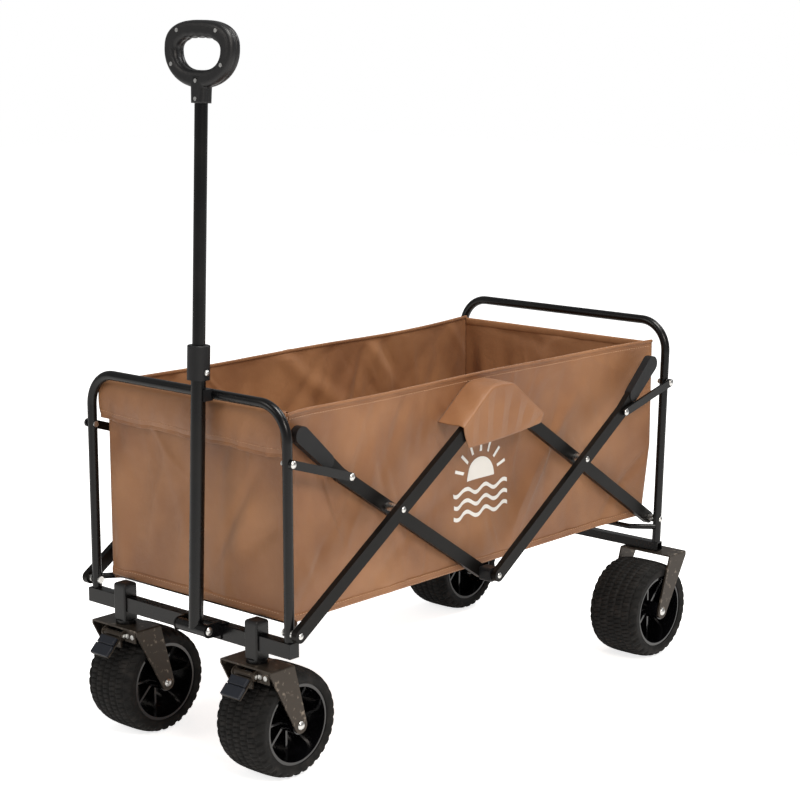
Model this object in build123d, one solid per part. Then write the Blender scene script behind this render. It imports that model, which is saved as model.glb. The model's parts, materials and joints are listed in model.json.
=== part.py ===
from build123d import *
from math import atan2, cos, degrees, radians, sin, sqrt
import os

# Folding beach cart. Units are millimetres. X is across the cart, -Y is the handle end and +Z is up.
# Every piece is drawn about the scissor's mid-plane and written out moved by SHIFT_Y, which puts the
# origin on the ground under the middle of the whole cart.
SHIFT_Y = 7.0

# ---------------------------------------------------------------- driving dimensions
WHEEL_R = 90.0
TYRE_W = 104.0
RIM_R = 66.0
RIM_W = 98.0
HUB_W = 106.6
AXLE_R = 5.0
FIT = 0.08              # radial running clearance of a pin in its hole
GAP = 0.3               # side clearance between neighbours that move

LEG_Y = 483.4           # both U frames stand this far from the mid-plane
FRONT_LEG_X = 228.0
REAR_LEG_X = 244.0
U_TUBE_R = 8.0
TUBE_WALL = 1.2
FRONT_TOP_Z = 609.0
REAR_TOP_Z = 627.0
U_BEND_R = 55.0
REAR_LEAN = 0.04        # the rear U leans back by this much per unit of height

FOLD_ANGLE = 33.3       # slope of every scissor bar when the cart stands open
PIVOT_Z = 254.2         # height of the bars' pivots on the legs
CROSS_Y = 246.2         # the crossings stand this far from the mid-plane
TIP_Y = 455.0           # a corner bar's end, where the basket's corner hangs
TIP_Z = 566.0
CAP_R = 14.5
BAR_H = 22.0
BAR_T = 11.0
BAR_WALL = 1.2
BOLT_R = 4.0
OUTER_X = 242.5         # inner face of the outer layer of bars
FRONT_INNER_X = 207.0   # inner face of the front pair that runs inside the legs
REAR_INNER_X = 215.0    # inner face of the rear pair that runs inside the legs

LINK_ARM = 128.6        # crossing to the link's pivot on the bar
LINK_Z = 522.0          # link's pivot on the front leg
REAR_LINK_Z = 515.5     # link's pivot on the rear leg
LINK_H = 14.0
LINK_T = 5.0

BAR_FRONT_Z = 228.0     # front cross bar's centre
BAR_FRONT_H = 24.0
BAR_FRONT_D = 20.0
BAR_REAR_Z = 202.6
BAR_REAR_S = 16.0

CASTER_X = 156.0
TRAIL = 40.1            # the caster's axle sits this far behind its swivel axis
POST = 28.0
POST_TOP_Z = 255.0
POST_FOOT_Z = 200.0
PLATE_Z = 193.5         # top of every fork
PLATE_T = 3.0
FORK_HALF = 56.7
FORK_DEPTH = 52.0
FORK_EYE_R = 13.0
REAR_WHEEL_X = 231.2
REAR_PLATE_Y = 491.0
REAR_AXLE_Y = 443.8
KING_R = 6.0

BRAKE_PIVOT = (-513.0, 181.0)
BRAKE_X = (-18.0, 24.0)
EAR_T = 2.5

HANDLE_X = 56.0
SLEEVE_X = 51.0
HANDLE_PIVOT = (-520.0, 236.0)
HANDLE_LEAN = 2.25      # degrees the handle leans back against the U frame
LOWER_R = 11.8
UPPER_R = 10.3
SLEEVE_R = 10.0
SLEEVE_L = 66.0
COLLAR_R = 18.0
COLLAR_BASE = 398.0     # along the handle from its pivot
COLLAR_TOP = 452.0
BUTTON_AT = COLLAR_BASE + 12
UPPER_FOOT = 389.0
GRIP_NECK = 822.0
GRIP_TOP = 947.0
GRIP_W = 150.0
GRIP_D = 26.0
GRIP_NECK_W = 31.0
GRIP_BAR = 27.0         # depth of the grip's top bar above the finger hole
GRIP_ROUND = 6.0
GRIP_SCREWS = [(-43, 109), (43, 109), (-55, 58), (55, 58), (0, 34), (0, 7)]     # across, up from the neck

SIDE_X = 202.0          # outer face of the basket's sides
CLOTH = 3.0
FLOOR_Z = 264.0
RIM_Z = 595.0
BASKET_FRONT_Y = -469.0
BASKET_REAR_Y = 480.0
ROD_R = 5.0
ROD_Y = 448.0
ROD_BEND_X = 205.0
FRONT_ROD_Z = 258.0
REAR_ROD_Z = 240.0

# ---------------------------------------------------------------- places worked out from them
SLOPE = radians(FOLD_ANGLE)
ARM_OUTER = (LEG_Y - CROSS_Y) / cos(SLOPE)      # leg pivot to crossing
ARM_INNER = CROSS_Y / cos(SLOPE)                # crossing to the mid-plane
CROSS_Z = PIVOT_Z + ARM_OUTER * sin(SLOPE)
PEAK_Z = CROSS_Z + ARM_INNER * sin(SLOPE)
LOW_Z = CROSS_Z - ARM_INNER * sin(SLOPE)
OUTER_FACE = OUTER_X + BAR_T


def rear_leg_y(z):
    """Centre of a rear leg at a height: the rear U leans back about its bar pivots."""
    return LEG_Y + REAR_LEAN * (z - PIVOT_Z)


FRONT_LINK_X = FRONT_LEG_X + U_TUBE_R + 0.4
REAR_LINK_X = OUTER_FACE + 2.0
FRONT_LINK_LEG = (-LEG_Y, LINK_Z)
REAR_LINK_LEG = (rear_leg_y(REAR_LINK_Z), REAR_LINK_Z)


# ---------------------------------------------------------------- general shapes
def rod_x(radius, x0, x1, y, z):
    """Round bar along X."""
    return Pos((x0 + x1) / 2, y, z) * Rot(0, 90, 0) * Cylinder(radius, abs(x1 - x0))


def rod_z(radius, z0, z1, x=0.0, y=0.0):
    """Round bar along Z."""
    return Pos(x, y, (z0 + z1) / 2) * Cylinder(radius, abs(z1 - z0))


def block(x, y, z):
    """Box between two limits on each axis."""
    size = (x[1] - x[0], y[1] - y[0], z[1] - z[0])
    return Pos((x[0] + x[1]) / 2, (y[0] + y[1]) / 2, (z[0] + z[1]) / 2) * Box(*size)


def both_sides(shape):
    """A piece and its mirror image on the other side of the cart."""
    return Compound(children=[shape, mirror(shape, Plane.YZ)])


def other_side(shape):
    return mirror(shape, Plane.YZ)


def dome_x(radius, height, x, y, z, side=1):
    """Domed rivet head standing on a face at x, pointing to +X or to -X."""
    ball = (radius**2 + height**2) / (2 * height)
    half = atan2(radius, ball - height) / 2
    rim = (radius, 0)
    top = (0, height)
    middle = (ball * sin(half), height - ball + ball * cos(half))
    outline = Polyline(top, (0, 0), rim) + ThreePointArc(rim, middle, top)
    face = Plane.XZ * make_face(outline)
    cap = revolve(face, Axis.Z)
    return Pos(x, y, z) * Rot(0, 90 * side, 0) * cap


def tube_along(points, bend, radius, wall):
    """Round tube, or rod where wall is None, along straight runs joined by arcs."""
    path = FilletPolyline(*points, radius=bend)
    section = Circle(radius) if wall is None else Circle(radius) - Circle(radius - wall)
    return sweep(Plane(origin=path @ 0, z_dir=path % 0) * section, path=path)


def side_outline(sketch, x0, x1):
    """Sketch drawn in (Y, Z) and given its thickness along X."""
    return Pos(x0, 0, 0) * extrude(Plane.YZ * sketch, x1 - x0, dir=(1, 0, 0))


def strip(start, end, height, overrun=None):
    """Flat strip outline with round ends about two points in (Y, Z)."""
    dy = end[0] - start[0]
    dz = end[1] - start[1]
    length = sqrt(dy**2 + dz**2)
    middle = Pos((start[0] + end[0]) / 2, (start[1] + end[1]) / 2)
    return middle * Rot(0, 0, degrees(atan2(dz, dy))) * SlotOverall(length + height, height)


def rivet(x_in, x_out, y, z, radius=BOLT_R, head=(5.0, 2.5), nut=(6.0, 2.5), spacers=()):
    """Shank along X with a domed head outside, a flat nut inside and spacers between."""
    shape = rod_x(radius, x_in, x_out, y, z) + dome_x(head[0], head[1], x_out, y, z)
    shape += rod_x(nut[0], x_in, x_in + nut[1], y, z)
    for x0, x1, r in spacers:
        shape += rod_x(r, x0, x1, y, z)
    return shape


# ---------------------------------------------------------------- scissor bars
def place(sign, arm):
    """Point on the straight part of a corner bar, measured up from the crossing."""
    return (sign * (CROSS_Y + arm * cos(SLOPE)), CROSS_Z + arm * sin(SLOPE))


def bar(points, x0, holes):
    """Rectangular steel tube through a row of points, hollow inside, with bolt holes through it."""
    outline = Sketch() + [strip(a, b, BAR_H) for a, b in zip(points, points[1:])]
    inner = Sketch() + [strip(a, b, BAR_H - 2 * BAR_WALL) for a, b in zip(points, points[1:])]
    shape = side_outline(outline, x0, x0 + BAR_T)
    shape -= side_outline(inner, x0 + BAR_WALL, x0 + BAR_T - BAR_WALL)
    for y, z in holes:
        shape -= rod_x(BOLT_R + FIT, x0 - 1, x0 + BAR_T + 1, y, z)
    return shape


def leg_bar(sign, x0):
    """Bar from a leg's pivot, through the crossing, up to the peak."""
    leg = (sign * LEG_Y, PIVOT_Z)
    cross = (sign * CROSS_Y, CROSS_Z)
    peak = (0, PEAK_Z)
    return bar([leg, peak], x0, [leg, cross, peak])


def cap_outline(sign):
    """Leaf-shaped outline of the plastic cap on a corner bar's end."""
    bend_y, bend_z = place(sign, LINK_ARM)
    tip_y = sign * (TIP_Y - CAP_R)
    tip_z = TIP_Z - CAP_R * 0.6
    root_y = bend_y + 0.35 * (tip_y - bend_y)
    root_z = bend_z + 0.35 * (tip_z - bend_z)
    big = Pos(tip_y, tip_z) * Circle(CAP_R)
    small = Pos(root_y, root_z) * Circle(BAR_H / 2 + 1.2)
    return make_hull(big.edges() + small.edges())


def corner_bar(sign, x0):
    """Bar from the low middle pivot, through the crossing, bent up towards the basket's corner."""
    low = (0, LOW_Z)
    cross = (sign * CROSS_Y, CROSS_Z)
    bend = place(sign, LINK_ARM)
    end = (sign * (TIP_Y - CAP_R - 24), TIP_Z - 28)
    return bar([low, bend, end], x0, [low, cross])


def corner_caps(sign, x0):
    """Plastic caps over both corner bars' ends, hollowed to slip on."""
    shape = side_outline(cap_outline(sign), x0 - 1.4, x0 + BAR_T + 1.4)
    bend = place(sign, LINK_ARM)
    end = (sign * (TIP_Y - CAP_R - 24), TIP_Z - 28)
    return both_sides(shape - side_outline(strip(bend, end, BAR_H), x0, x0 + BAR_T))


def front_pivot_bolts():
    """Bolts at the front crossing and at the peak, carried by the outer front bars."""
    face = FRONT_INNER_X + BAR_T
    spacer = (face + GAP, OUTER_X, 7)
    cross = rivet(FRONT_INNER_X - GAP - 2.5, OUTER_FACE, -CROSS_Y, CROSS_Z, spacers=[spacer])
    rear_face = REAR_INNER_X + BAR_T
    peak = rivet(REAR_INNER_X - GAP - 2.5, OUTER_FACE, 0, PEAK_Z, spacers=[(rear_face + GAP, OUTER_X, 7)])
    return Compound(children=[cross, peak, other_side(cross), other_side(peak)])


def rear_pivot_bolts():
    """Bolts at the rear crossing, carried by the inner rear bars."""
    face = REAR_INNER_X + BAR_T
    x_out = OUTER_FACE + GAP
    cross = rivet(REAR_INNER_X - 2.5, x_out, CROSS_Y, CROSS_Z, spacers=[(face, OUTER_X - GAP, 7)])
    return both_sides(cross)


def bottom_pivot_bolts():
    """Bolts at the low middle pivot, with a nut inside."""
    return both_sides(rivet(FRONT_INNER_X - GAP - 2.5, OUTER_FACE, 0, LOW_Z))


def bottom_spacers():
    """Plastic blocks that hold the two low bar ends apart."""
    outline = Pos(0, LOW_Z) * RectangleRounded(26, 24, 6)
    shape = side_outline(outline, FRONT_INNER_X + BAR_T, OUTER_X - GAP)
    return both_sides(shape - rod_x(BOLT_R + FIT, FRONT_INNER_X, OUTER_FACE, 0, LOW_Z))


def peak_hood():
    """Cloth cap over the peak joint, open below and towards the basket."""
    half = 112.0
    foot_z = 498.0
    shoulder_z = 523.0
    top_z = 587.0
    foot = [(half, foot_z), (half, shoulder_z)]
    roof = [(24, top_z), (-24, top_z)]
    outside = Polygon(*foot, *roof, (-half, shoulder_z), (-half, foot_z), align=None)
    foot = [(half + 1, foot_z - 5), (half + 1, shoulder_z - 6)]
    roof = [(20, top_z - 3.2), (-20, top_z - 3.2)]
    inside = Polygon(*foot, *roof, (-half - 1, shoulder_z - 6), (-half - 1, foot_z - 5), align=None)
    shell = side_outline(outside, SIDE_X + 0.5, OUTER_FACE + 5)
    return shell - side_outline(inside, SIDE_X - 1, OUTER_FACE + 3)


# ---------------------------------------------------------------- links
def link(sign, leg_point, x0):
    """Flat link from a leg to a corner bar."""
    bar_point = place(sign, LINK_ARM)
    shape = side_outline(strip(leg_point, bar_point, LINK_H), x0, x0 + LINK_T)
    shape -= rod_x(BOLT_R + FIT, x0 - 1, x0 + LINK_T + 1, *leg_point)
    return shape - rod_x(BOLT_R + FIT, x0 - 1, x0 + LINK_T + 1, *bar_point)


def front_link_rivets():
    """Rivets on the links' bar ends. They stop just short of the bars, where the loop is open."""
    y, z = place(-1, LINK_ARM)
    x_in = FRONT_INNER_X + BAR_T + GAP
    x_out = FRONT_LINK_X + LINK_T
    shape = rod_x(BOLT_R, x_in, x_out, y, z) + rod_x(6.5, x_in, FRONT_LINK_X, y, z)
    return both_sides(shape + dome_x(6, 3, x_out, y, z))


def rear_link_rivets():
    y, z = place(1, LINK_ARM)
    x_out = REAR_LINK_X + LINK_T
    return both_sides(rod_x(BOLT_R, REAR_LINK_X, x_out, y, z) + dome_x(6, 3, x_out, y, z))


# ---------------------------------------------------------------- front frame
def front_u_frame():
    foot = BAR_FRONT_Z + BAR_FRONT_H / 2
    x = FRONT_LEG_X
    points = [(-x, -LEG_Y, foot), (-x, -LEG_Y, FRONT_TOP_Z), (x, -LEG_Y, FRONT_TOP_Z), (x, -LEG_Y, foot)]
    shape = tube_along(points, U_BEND_R, U_TUBE_R, TUBE_WALL)
    for z in (PIVOT_Z, LINK_Z):
        shape -= rod_x(BOLT_R + FIT, -x - 20, x + 20, -LEG_Y, z)
    return shape


def front_cross_bar():
    half_h = BAR_FRONT_H / 2
    half_d = BAR_FRONT_D / 2
    end = FRONT_LEG_X + U_TUBE_R
    y = (-LEG_Y - half_d, -LEG_Y + half_d)
    outer = block((-end, end), y, (BAR_FRONT_Z - half_h, BAR_FRONT_Z + half_h))
    wall = 1.6
    inner_y = (y[0] + wall, y[1] - wall)
    inner_z = (BAR_FRONT_Z - half_h + wall, BAR_FRONT_Z + half_h - wall)
    return outer - block((-end - 1, end + 1), inner_y, inner_z)


def caster_post(x):
    """Square post with a round bearing foot, threaded over the cross bar, bored for the king pin."""
    half = POST / 2
    y = (-LEG_Y - half, -LEG_Y + half)
    shape = block((x - half, x + half), y, (POST_FOOT_Z, POST_TOP_Z))
    shape = fillet(shape.edges().filter_by(Axis.Z), 3)
    shape += rod_z(17, PLATE_Z + GAP, POST_FOOT_Z, x, -LEG_Y)
    half_h = BAR_FRONT_H / 2
    half_d = BAR_FRONT_D / 2
    slot_y = (-LEG_Y - half_d, -LEG_Y + half_d)
    shape -= block((x - POST, x + POST), slot_y, (BAR_FRONT_Z - half_h, BAR_FRONT_Z + half_h))
    return shape - rod_z(KING_R + FIT, PLATE_Z, BAR_FRONT_Z - half_h - 2, x, -LEG_Y)


def caster_posts():
    return Compound(children=[caster_post(x) for x in (-CASTER_X, CASTER_X)])


def post_cap(x):
    """Rounded plastic cap on a post."""
    half = POST / 2
    y = (-LEG_Y - half, -LEG_Y + half)
    shape = block((x - half, x + half), y, (POST_TOP_Z, POST_TOP_Z + 8))
    shape = fillet(shape.edges().filter_by(Axis.Z), 3)
    return fillet(shape.faces().sort_by(Axis.Z)[-1].edges(), 5)


def bar_end_cap(sign):
    """Plastic plug in an end of the cross bar."""
    end = FRONT_LEG_X + U_TUBE_R
    half_h = BAR_FRONT_H / 2
    half_d = BAR_FRONT_D / 2
    y = (-LEG_Y - half_d, -LEG_Y + half_d)
    x = sorted((sign * end, sign * (end + 3)))
    return block(x, y, (BAR_FRONT_Z - half_h, BAR_FRONT_Z + half_h))


def frame_caps():
    caps = [post_cap(x) for x in (-CASTER_X, CASTER_X)] + [bar_end_cap(sign) for sign in (-1, 1)]
    return Compound(children=caps)


def floor_rod(sign, leg_x, leg_y, z):
    """Bent rod between the legs that carries an end of the basket's floor."""
    end = leg_y - U_TUBE_R
    y = sign * ROD_Y
    points = [(-leg_x, sign * end, z), (-ROD_BEND_X, y, z), (ROD_BEND_X, y, z), (leg_x, sign * end, z)]
    return tube_along(points, 12, ROD_R, None)


def front_floor_rod():
    legs = front_u_frame_core()
    return floor_rod(-1, FRONT_LEG_X, LEG_Y + 2, FRONT_ROD_Z) - legs


def front_u_frame_core():
    """Solid legs of the front U, to trim what is welded to them."""
    return both_sides(rod_z(U_TUBE_R, 200, 500, FRONT_LEG_X, -LEG_Y))


def rear_leg_core():
    """Solid legs of the rear U, to trim what is welded to them."""
    lean = Rot(-degrees(atan2(REAR_LEAN, 1)), 0, 0)
    return both_sides(Pos(REAR_LEG_X, LEG_Y, PIVOT_Z) * lean * Cylinder(U_TUBE_R, 200))


def handle_bracket():
    """Folded plate on the cross bar with two ears for the handle's pin."""
    half = SLEEVE_L / 2 + 0.5
    front = -LEG_Y - BAR_FRONT_D / 2
    top = BAR_FRONT_Z + BAR_FRONT_H / 2
    x = (SLEEVE_X - half - EAR_T, SLEEVE_X + half + EAR_T)
    shape = block(x, (front - EAR_T, front), (top - 22, top + EAR_T))
    shape += block(x, (front, front + 16), (top, top + EAR_T))
    py, pz = HANDLE_PIVOT
    reach = Rectangle(10, 24)
    ear = make_hull((Pos(py, pz) * Circle(11)).edges() + (Pos(front - 4, pz) * reach).edges())
    ear &= Pos(front - 60, pz) * Rectangle(120, 60)
    for x0 in (x[0], x[1] - EAR_T):
        shape += side_outline(ear, x0, x0 + EAR_T)
    return shape - rod_x(BOLT_R + FIT, x[0] - 1, x[1] + 1, py, pz)


def handle_rest():
    """Plastic cradle on the top bar that the upright handle leans into."""
    y_tube = handle_point(FRONT_TOP_Z)[1]
    z0 = FRONT_TOP_Z - 9
    z1 = FRONT_TOP_Z + 9
    shape = block((HANDLE_X - 14, HANDLE_X + 14), (y_tube - 1, -LEG_Y - 4), (z0, z1))
    shape -= rod_x(U_TUBE_R, HANDLE_X - 20, HANDLE_X + 20, -LEG_Y, FRONT_TOP_Z)
    groove = along_handle(Cylinder(LOWER_R + GAP, 200), FRONT_TOP_Z - HANDLE_PIVOT[1])
    return shape - groove


def front_bolts():
    """Steel fasteners of the front frame: bar bolts, link bolts and the handle's pin."""
    leg_in = FRONT_LEG_X - U_TUBE_R
    leg_out = FRONT_LEG_X + U_TUBE_R
    x_out = OUTER_FACE + GAP
    pivot = rivet(leg_in - 3, x_out, -LEG_Y, PIVOT_Z, nut=(6, 3), spacers=[(leg_out, OUTER_X - GAP, 7)])
    y, z = FRONT_LINK_LEG
    link_out = FRONT_LINK_X + LINK_T + GAP
    link_bolt = rivet(leg_in - 1.7, link_out, y, z, head=(6, 3), nut=(5, 1.7))
    half = SLEEVE_L / 2 + 0.5 + EAR_T
    py, pz = HANDLE_PIVOT
    pin = rod_x(BOLT_R, SLEEVE_X - half, SLEEVE_X + half, py, pz)
    pin += dome_x(7, 4, SLEEVE_X + half, py, pz) + dome_x(7, 4, SLEEVE_X - half, py, pz, -1)
    return Compound(children=[pivot, link_bolt, other_side(pivot), other_side(link_bolt), pin])


# ---------------------------------------------------------------- rear frame
def rear_u_frame():
    foot = BAR_REAR_Z + BAR_REAR_S / 2
    x = REAR_LEG_X
    low = rear_leg_y(foot)
    high = rear_leg_y(REAR_TOP_Z)
    points = [(-x, low, foot), (-x, high, REAR_TOP_Z), (x, high, REAR_TOP_Z), (x, low, foot)]
    shape = tube_along(points, U_BEND_R, U_TUBE_R, TUBE_WALL)
    shape -= block((-300, 300), (400, 560), (100, foot))
    shape -= rod_x(BOLT_R + FIT, -x - 20, x + 20, LEG_Y, PIVOT_Z)
    return shape - rod_x(BOLT_R + FIT, -x - 20, x + 20, *REAR_LINK_LEG)


def rear_cross_bar():
    half = BAR_REAR_S / 2
    end = REAR_LEG_X + U_TUBE_R
    y = rear_leg_y(BAR_REAR_Z)
    outer = block((-end, end), (y - half, y + half), (BAR_REAR_Z - half, BAR_REAR_Z + half))
    inner = half - 1.6
    inner_z = (BAR_REAR_Z - inner, BAR_REAR_Z + inner)
    return outer - block((-end - 1, end + 1), (y - inner, y + inner), inner_z)


def rear_floor_rod():
    return floor_rod(1, REAR_LEG_X, LEG_Y + 2, REAR_ROD_Z) - rear_leg_core()


def rear_bolts():
    """Steel fasteners of the rear frame: bar bolts, link bolts and the two axles."""
    leg_in = REAR_LEG_X - U_TUBE_R
    leg_out = REAR_LEG_X + U_TUBE_R
    bar_face = REAR_INNER_X + BAR_T
    pivot = rivet(
        REAR_INNER_X - GAP - 2.5, leg_out, LEG_Y, PIVOT_Z, head=(5.5, 3), spacers=[(bar_face + GAP, leg_in, 7)]
    )
    y, z = REAR_LINK_LEG
    link_out = REAR_LINK_X + LINK_T + GAP
    washer = (leg_out, REAR_LINK_X - GAP, 6)
    link_bolt = rivet(leg_in - 3, link_out, y, z, head=(6, 3), nut=(5, 3), spacers=[washer])
    axle = axle_bolt(REAR_WHEEL_X, REAR_AXLE_Y)
    one_side = [pivot, link_bolt, axle]
    return Compound(children=one_side + [other_side(piece) for piece in one_side])


# ---------------------------------------------------------------- forks and wheels
def fork(x, plate_y, axle_y):
    """Bent plate fork: a flat top and two arms that slant to the axle."""
    half_d = FORK_DEPTH / 2
    plate = (plate_y - half_d, plate_y + half_d)
    shape = block((x - FORK_HALF, x + FORK_HALF), plate, (PLATE_Z - PLATE_T, PLATE_Z))
    top = Pos(plate_y, PLATE_Z - 4) * Rectangle(FORK_DEPTH, 8)
    eye = Pos(axle_y, WHEEL_R) * Circle(FORK_EYE_R)
    arm = make_hull(top.edges() + eye.edges())
    for x0 in (x - FORK_HALF, x + FORK_HALF - PLATE_T):
        shape += side_outline(arm, x0, x0 + PLATE_T)
    shape = fillet(shape.edges().filter_by(Axis.Y).group_by(Axis.Z)[-1], 2.5)
    return shape - rod_x(AXLE_R + FIT, x - 80, x + 80, axle_y, WHEEL_R)


def axle_bolt(x, axle_y):
    """Axle bolt with a round head on each side of a fork."""
    shape = rod_x(AXLE_R, x - FORK_HALF, x + FORK_HALF, axle_y, WHEEL_R)
    shape += dome_x(7, 4, x + FORK_HALF, axle_y, WHEEL_R)
    return shape + dome_x(7, 4, x - FORK_HALF, axle_y, WHEEL_R, -1)


def caster_fork(x):
    """Front fork with the brake's ears and bolt plate under its front edge."""
    shape = fork(x, -LEG_Y, -LEG_Y + TRAIL)
    shape -= rod_z(KING_R + 0.05, PLATE_Z - 10, PLATE_Z + 1, x, -LEG_Y)
    py, pz = BRAKE_PIVOT
    under = PLATE_Z - PLATE_T
    root = Pos(py + 10, under - 2) * Rectangle(12, 4)
    ear = make_hull((Pos(py, pz) * Circle(7)).edges() + root.edges())
    x0, x1 = x + BRAKE_X[0], x + BRAKE_X[1]
    for edge in (x0 - GAP - EAR_T, x1 + GAP):
        shape += side_outline(ear, edge, edge + EAR_T)
    shape += block((x1 + GAP + EAR_T, x + 52), (-509.4, -506.9), (172, under))
    return shape - rod_x(3.05, x0 - 10, x1 + 10, py, pz)


def caster_pins(x):
    """King pin, axle, brake pin and brake bolts of a caster."""
    under = PLATE_Z - PLATE_T
    king = rod_z(KING_R, under, BAR_FRONT_Z - BAR_FRONT_H / 2 - 3, x, -LEG_Y)
    king += rod_z(11, under - 4, under, x, -LEG_Y)
    axle = axle_bolt(x, -LEG_Y + TRAIL)
    py, pz = BRAKE_PIVOT
    x0, x1 = x + BRAKE_X[0] - GAP - EAR_T, x + BRAKE_X[1] + GAP + EAR_T
    pin = rod_x(3, x0, x1, py, pz) + rod_x(3.5, x1, x1 + 2.5, py, pz)
    bolts = [Pos(bx, -510.4, 182) * Rot(90, 0, 0) * Cylinder(4, 2) for bx in (x + 34, x + 46)]
    return Compound(children=[king, axle, pin] + bolts)


def along_lever(shape, distance, lift):
    """Place a piece on the brake lever: distance down its slope, lift off its face."""
    py, pz = BRAKE_PIVOT
    drop = radians(45)
    y = py - distance * cos(drop) - lift * sin(drop)
    z = pz - distance * sin(drop) + lift * cos(drop)
    return Pos(0, y, z) * Rot(45, 0, 0) * shape


def brake_lever(x):
    """Steel lever with its barrel on the pin, its plate under the pedal and its pad by the tyre."""
    x0, x1 = x + BRAKE_X[0], x + BRAKE_X[1]
    middle = (x0 + x1) / 2
    py, pz = BRAKE_PIVOT
    shape = rod_x(5.5, x0, x1, py, pz)
    plate = Pos(middle, 0, 0) * Box(x1 - x0, 44, 2.5)
    shape += along_lever(plate, 22, 0)
    shape += block((x0 + 6, x1 - 6), (py + 1, py + 4.5), (pz - 22, pz))
    return shape - rod_x(3 + FIT, x0 - 1, x1 + 1, py, pz)


def brake_pedal(x):
    """Two-step plastic foot pedal on the lever."""
    x0, x1 = x + BRAKE_X[0], x + BRAKE_X[1]
    middle = (x0 + x1) / 2
    upper = Pos(middle, 0, 0) * Box(x1 - x0 - 4, 15, 6)
    lower = Pos(middle, 0, 0) * Box(x1 - x0, 20, 5)
    shape = along_lever(fillet(upper.edges(), 1.5), 16, 4.25)
    return shape + along_lever(fillet(lower.edges(), 1.5), 34, 3.75)


def tyre_profile():
    """Half section of the tyre, in (radius, across)."""
    half = TYRE_W / 2
    crown = WHEEL_R
    shoulder = WHEEL_R - 5
    wall = RIM_R + 8
    points = [(crown, 0), (crown - 0.6, half * 0.45), (shoulder, half * 0.85), (wall + 4, half)]
    edge = Spline(points, tangents=[(0, 1), (-1, 0.35)])
    base = Polyline((wall + 4, half), (RIM_R, half - 2), (RIM_R, -half + 2), (wall + 4, -half))
    lower = mirror(edge, Plane.XZ)
    return make_face(Curve() + [edge, base, lower])


def tyre(x, axle_y):
    body = revolve(Plane.XZ * tyre_profile(), Axis.Z)
    return Pos(x, axle_y, WHEEL_R) * Rot(0, 90, 0) * body


def rim(x, axle_y):
    """Deep-dished plastic rim: barrel, web, hub and ribs."""
    half = RIM_W / 2
    barrel = Cylinder(RIM_R, RIM_W) - Cylinder(RIM_R - 5, RIM_W + 2)
    web = Cylinder(RIM_R - 4, 6)
    hub = Cylinder(15, HUB_W) - Cylinder(AXLE_R + FIT, HUB_W + 2)
    shape = barrel + web + hub
    rib = Pos(37, 0, 0) * Box(50, 4, 46)
    for k in range(8):
        shape += Rot(0, 0, 45 * k) * rib
    shape -= Cylinder(AXLE_R + FIT, HUB_W + 2)
    return Pos(x, axle_y, WHEEL_R) * Rot(0, 90, 0) * shape


# ---------------------------------------------------------------- handle
def along_handle(shape, distance, x=HANDLE_X):
    """Place a piece drawn along Z on the leaning handle, a distance up from its pivot."""
    py, pz = HANDLE_PIVOT
    return Pos(x, py, pz) * Rot(-HANDLE_LEAN, 0, 0) * Pos(0, 0, distance) * shape


def handle_point(z):
    """Point on the handle's centre line at a height."""
    py, pz = HANDLE_PIVOT
    return (HANDLE_X, py + (z - pz) * sin(radians(HANDLE_LEAN)) / cos(radians(HANDLE_LEAN)), z)


def handle_tube(radius, inner, foot, top):
    middle = (foot + top) / 2
    return along_handle(Cylinder(radius, top - foot) - Cylinder(inner, top - foot + 2), middle)


def handle_lower_tube():
    """Lower tube welded to its cross sleeve."""
    tube = handle_tube(LOWER_R, LOWER_R - TUBE_WALL, 0, COLLAR_TOP - 2)
    py, pz = HANDLE_PIVOT
    half = SLEEVE_L / 2
    tube -= rod_x(SLEEVE_R - 0.5, SLEEVE_X - half, SLEEVE_X + half, py, pz)
    tube -= block((-100, 200), (-600, -400), (150, pz))
    sleeve = rod_x(SLEEVE_R, SLEEVE_X - half, SLEEVE_X + half, py, pz)
    sleeve -= rod_x(BOLT_R + FIT, SLEEVE_X - half - 1, SLEEVE_X + half + 1, py, pz)
    return tube + sleeve - button_hole(5.3)


def button_hole(radius):
    """Hole through the collar and the lower tube for the lock button."""
    hole = Pos(COLLAR_R / 2 + 8, 0, 0) * Rot(0, 90, 0) * Cylinder(radius, COLLAR_R)
    return along_handle(hole, BUTTON_AT)


def handle_collar():
    """Plastic collar on the lower tube's mouth."""
    length = COLLAR_TOP - COLLAR_BASE
    shape = Cylinder(COLLAR_R, length) - Pos(0, 0, -2) * Cylinder(LOWER_R, length)
    shape -= Cylinder(UPPER_R + GAP, length + 2)
    shape = fillet(shape.edges().group_by(Axis.Z)[-1].sort_by(SortBy.LENGTH)[-1], 2)
    return along_handle(shape, (COLLAR_BASE + COLLAR_TOP) / 2) - button_hole(4.8)


def lock_button():
    """Round push button in the collar."""
    inner_end = UPPER_R + 3.0
    outer_end = COLLAR_R + 2.0
    length = outer_end - inner_end
    shank = Pos((inner_end + outer_end) / 2, 0, 0) * Rot(0, 90, 0) * Cylinder(4.5, length)
    cap = dome_x(4.5, 2.5, outer_end, 0, 0)
    return along_handle(shank + cap, BUTTON_AT)


def handle_upper_tube():
    return handle_tube(UPPER_R, UPPER_R - 1, UPPER_FOOT, GRIP_NECK + 30)


def grip_outline():
    """Outside of the D grip, in (across, up): flat top, round shoulders, tapering to the neck."""
    half = GRIP_W / 2
    neck = GRIP_NECK_W / 2
    top = GRIP_TOP - GRIP_NECK
    side = [(30, top), (56, top - 5), (half - 2, top - 26), (half, top - 44), (half - 10, top - 68)]
    side += [(half - 30, top - 84), (neck + 10, top - 92), (neck, top - 106)]
    edge = [Line((0, top), side[0]), Spline(side, tangents=[(1, 0), (0, -1)])]
    edge += [Line(side[-1], (neck, 0)), Line((neck, 0), (0, 0)), Line((0, 0), (0, top))]
    right = make_face(Curve() + edge)
    return right + mirror(right, Plane.YZ)


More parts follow.
